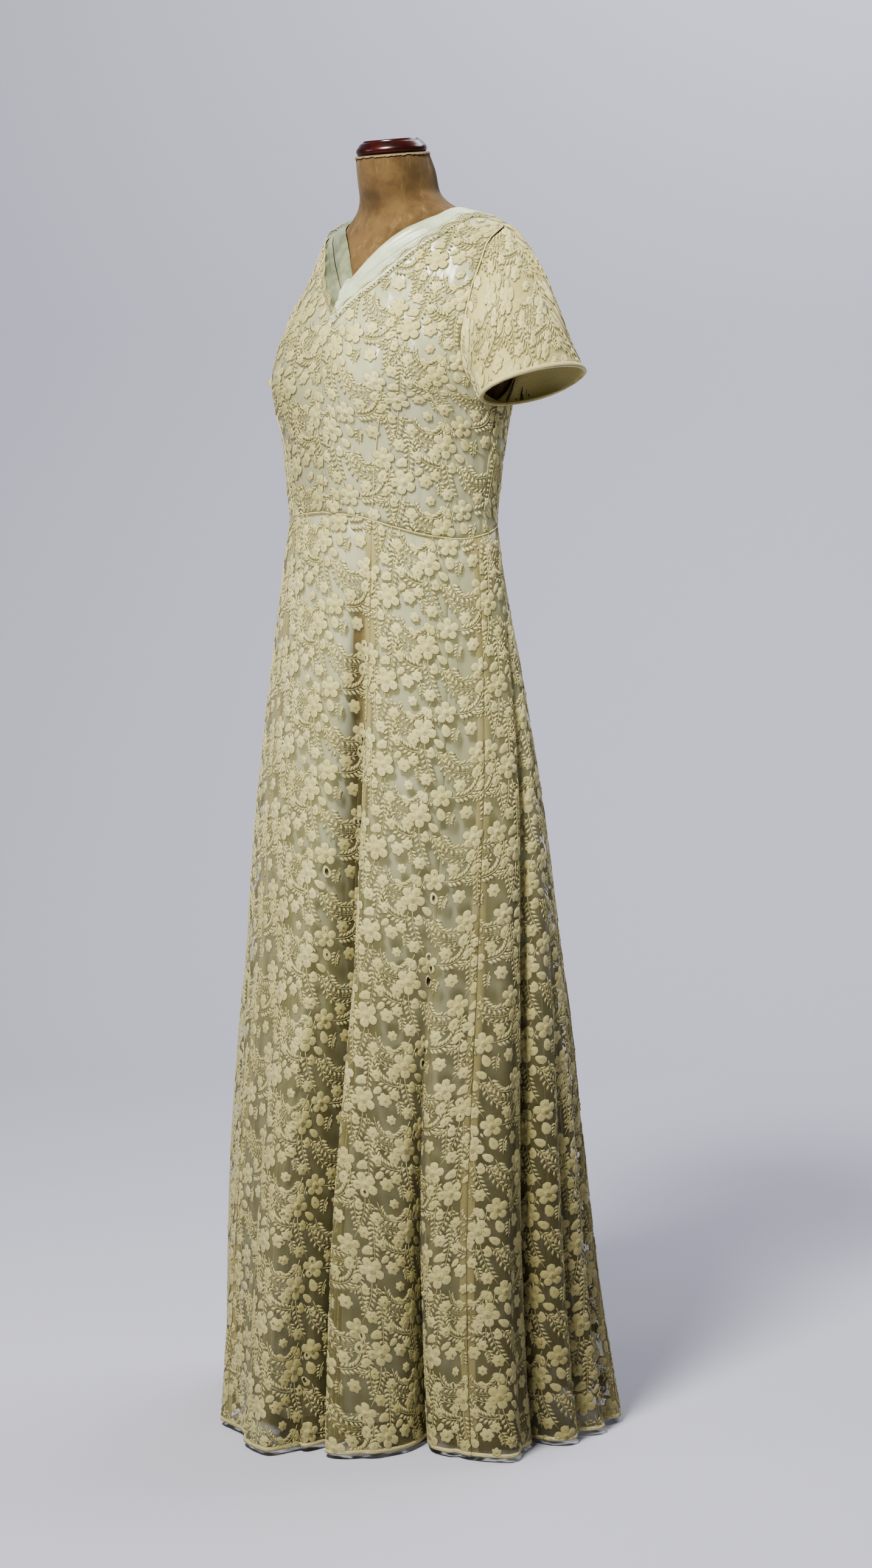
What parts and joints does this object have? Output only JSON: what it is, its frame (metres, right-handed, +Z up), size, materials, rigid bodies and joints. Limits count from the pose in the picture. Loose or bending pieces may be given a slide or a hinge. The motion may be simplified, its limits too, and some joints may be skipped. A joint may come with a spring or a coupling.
{
  "type": "lace maxi dress on dress form",
  "caption": "Floor-length lace dress over a satin slip, with crossed satin neck bands, short flared sleeves and a gored skirt, standing on a limbless dress form.",
  "frame": {"origin": "centre of the underside of the dress form's base, on the floor", "axes": "+Z up; the front of the dress faces -Y; the wearer's left is +X"},
  "size_m": [0.5098, 0.4816, 1.4817],
  "materials": {
    "lace": "cotton flower lace on fine net",
    "lining": "soft satin",
    "satin": "lustrous satin",
    "form_cloth": "aged, mottled",
    "wood": "polished, red stained",
    "base_iron": "satin black"
  },
  "bodies": {
    "root": {"bodice_lace_front_left": "lace", "bodice_lace_front_right": "lace", "bodice_lace_back": "lace", "sleeve_lace_left": "lace", "sleeve_lace_right": "lace", "skirt_front": "lace", "skirt_side_front_left": "lace", "skirt_side_back_left": "lace", "skirt_back": "lace", "skirt_side_back_right": "lace", "skirt_side_front_right": "lace", "bodice_lining_front_left": "lining", "bodice_lining_front_right": "lining", "bodice_lining_back": "lining", "sleeve_lining_left": "lining", "sleeve_lining_right": "lining", "slip_front": "lining", "slip_side_left": "lining", "slip_back_left": "lining", "slip_back": "lining", "slip_back_right": "lining", "slip_side_right": "lining", "neck_band_outer_left": "satin", "neck_band_inner_left": "satin", "neck_band_outer_right": "satin", "neck_band_inner_right": "satin", "form_torso": "form_cloth", "neck_cap": "wood", "stand_pole": "wood", "stand_base": "base_iron"}
  },
  "joints": []
}
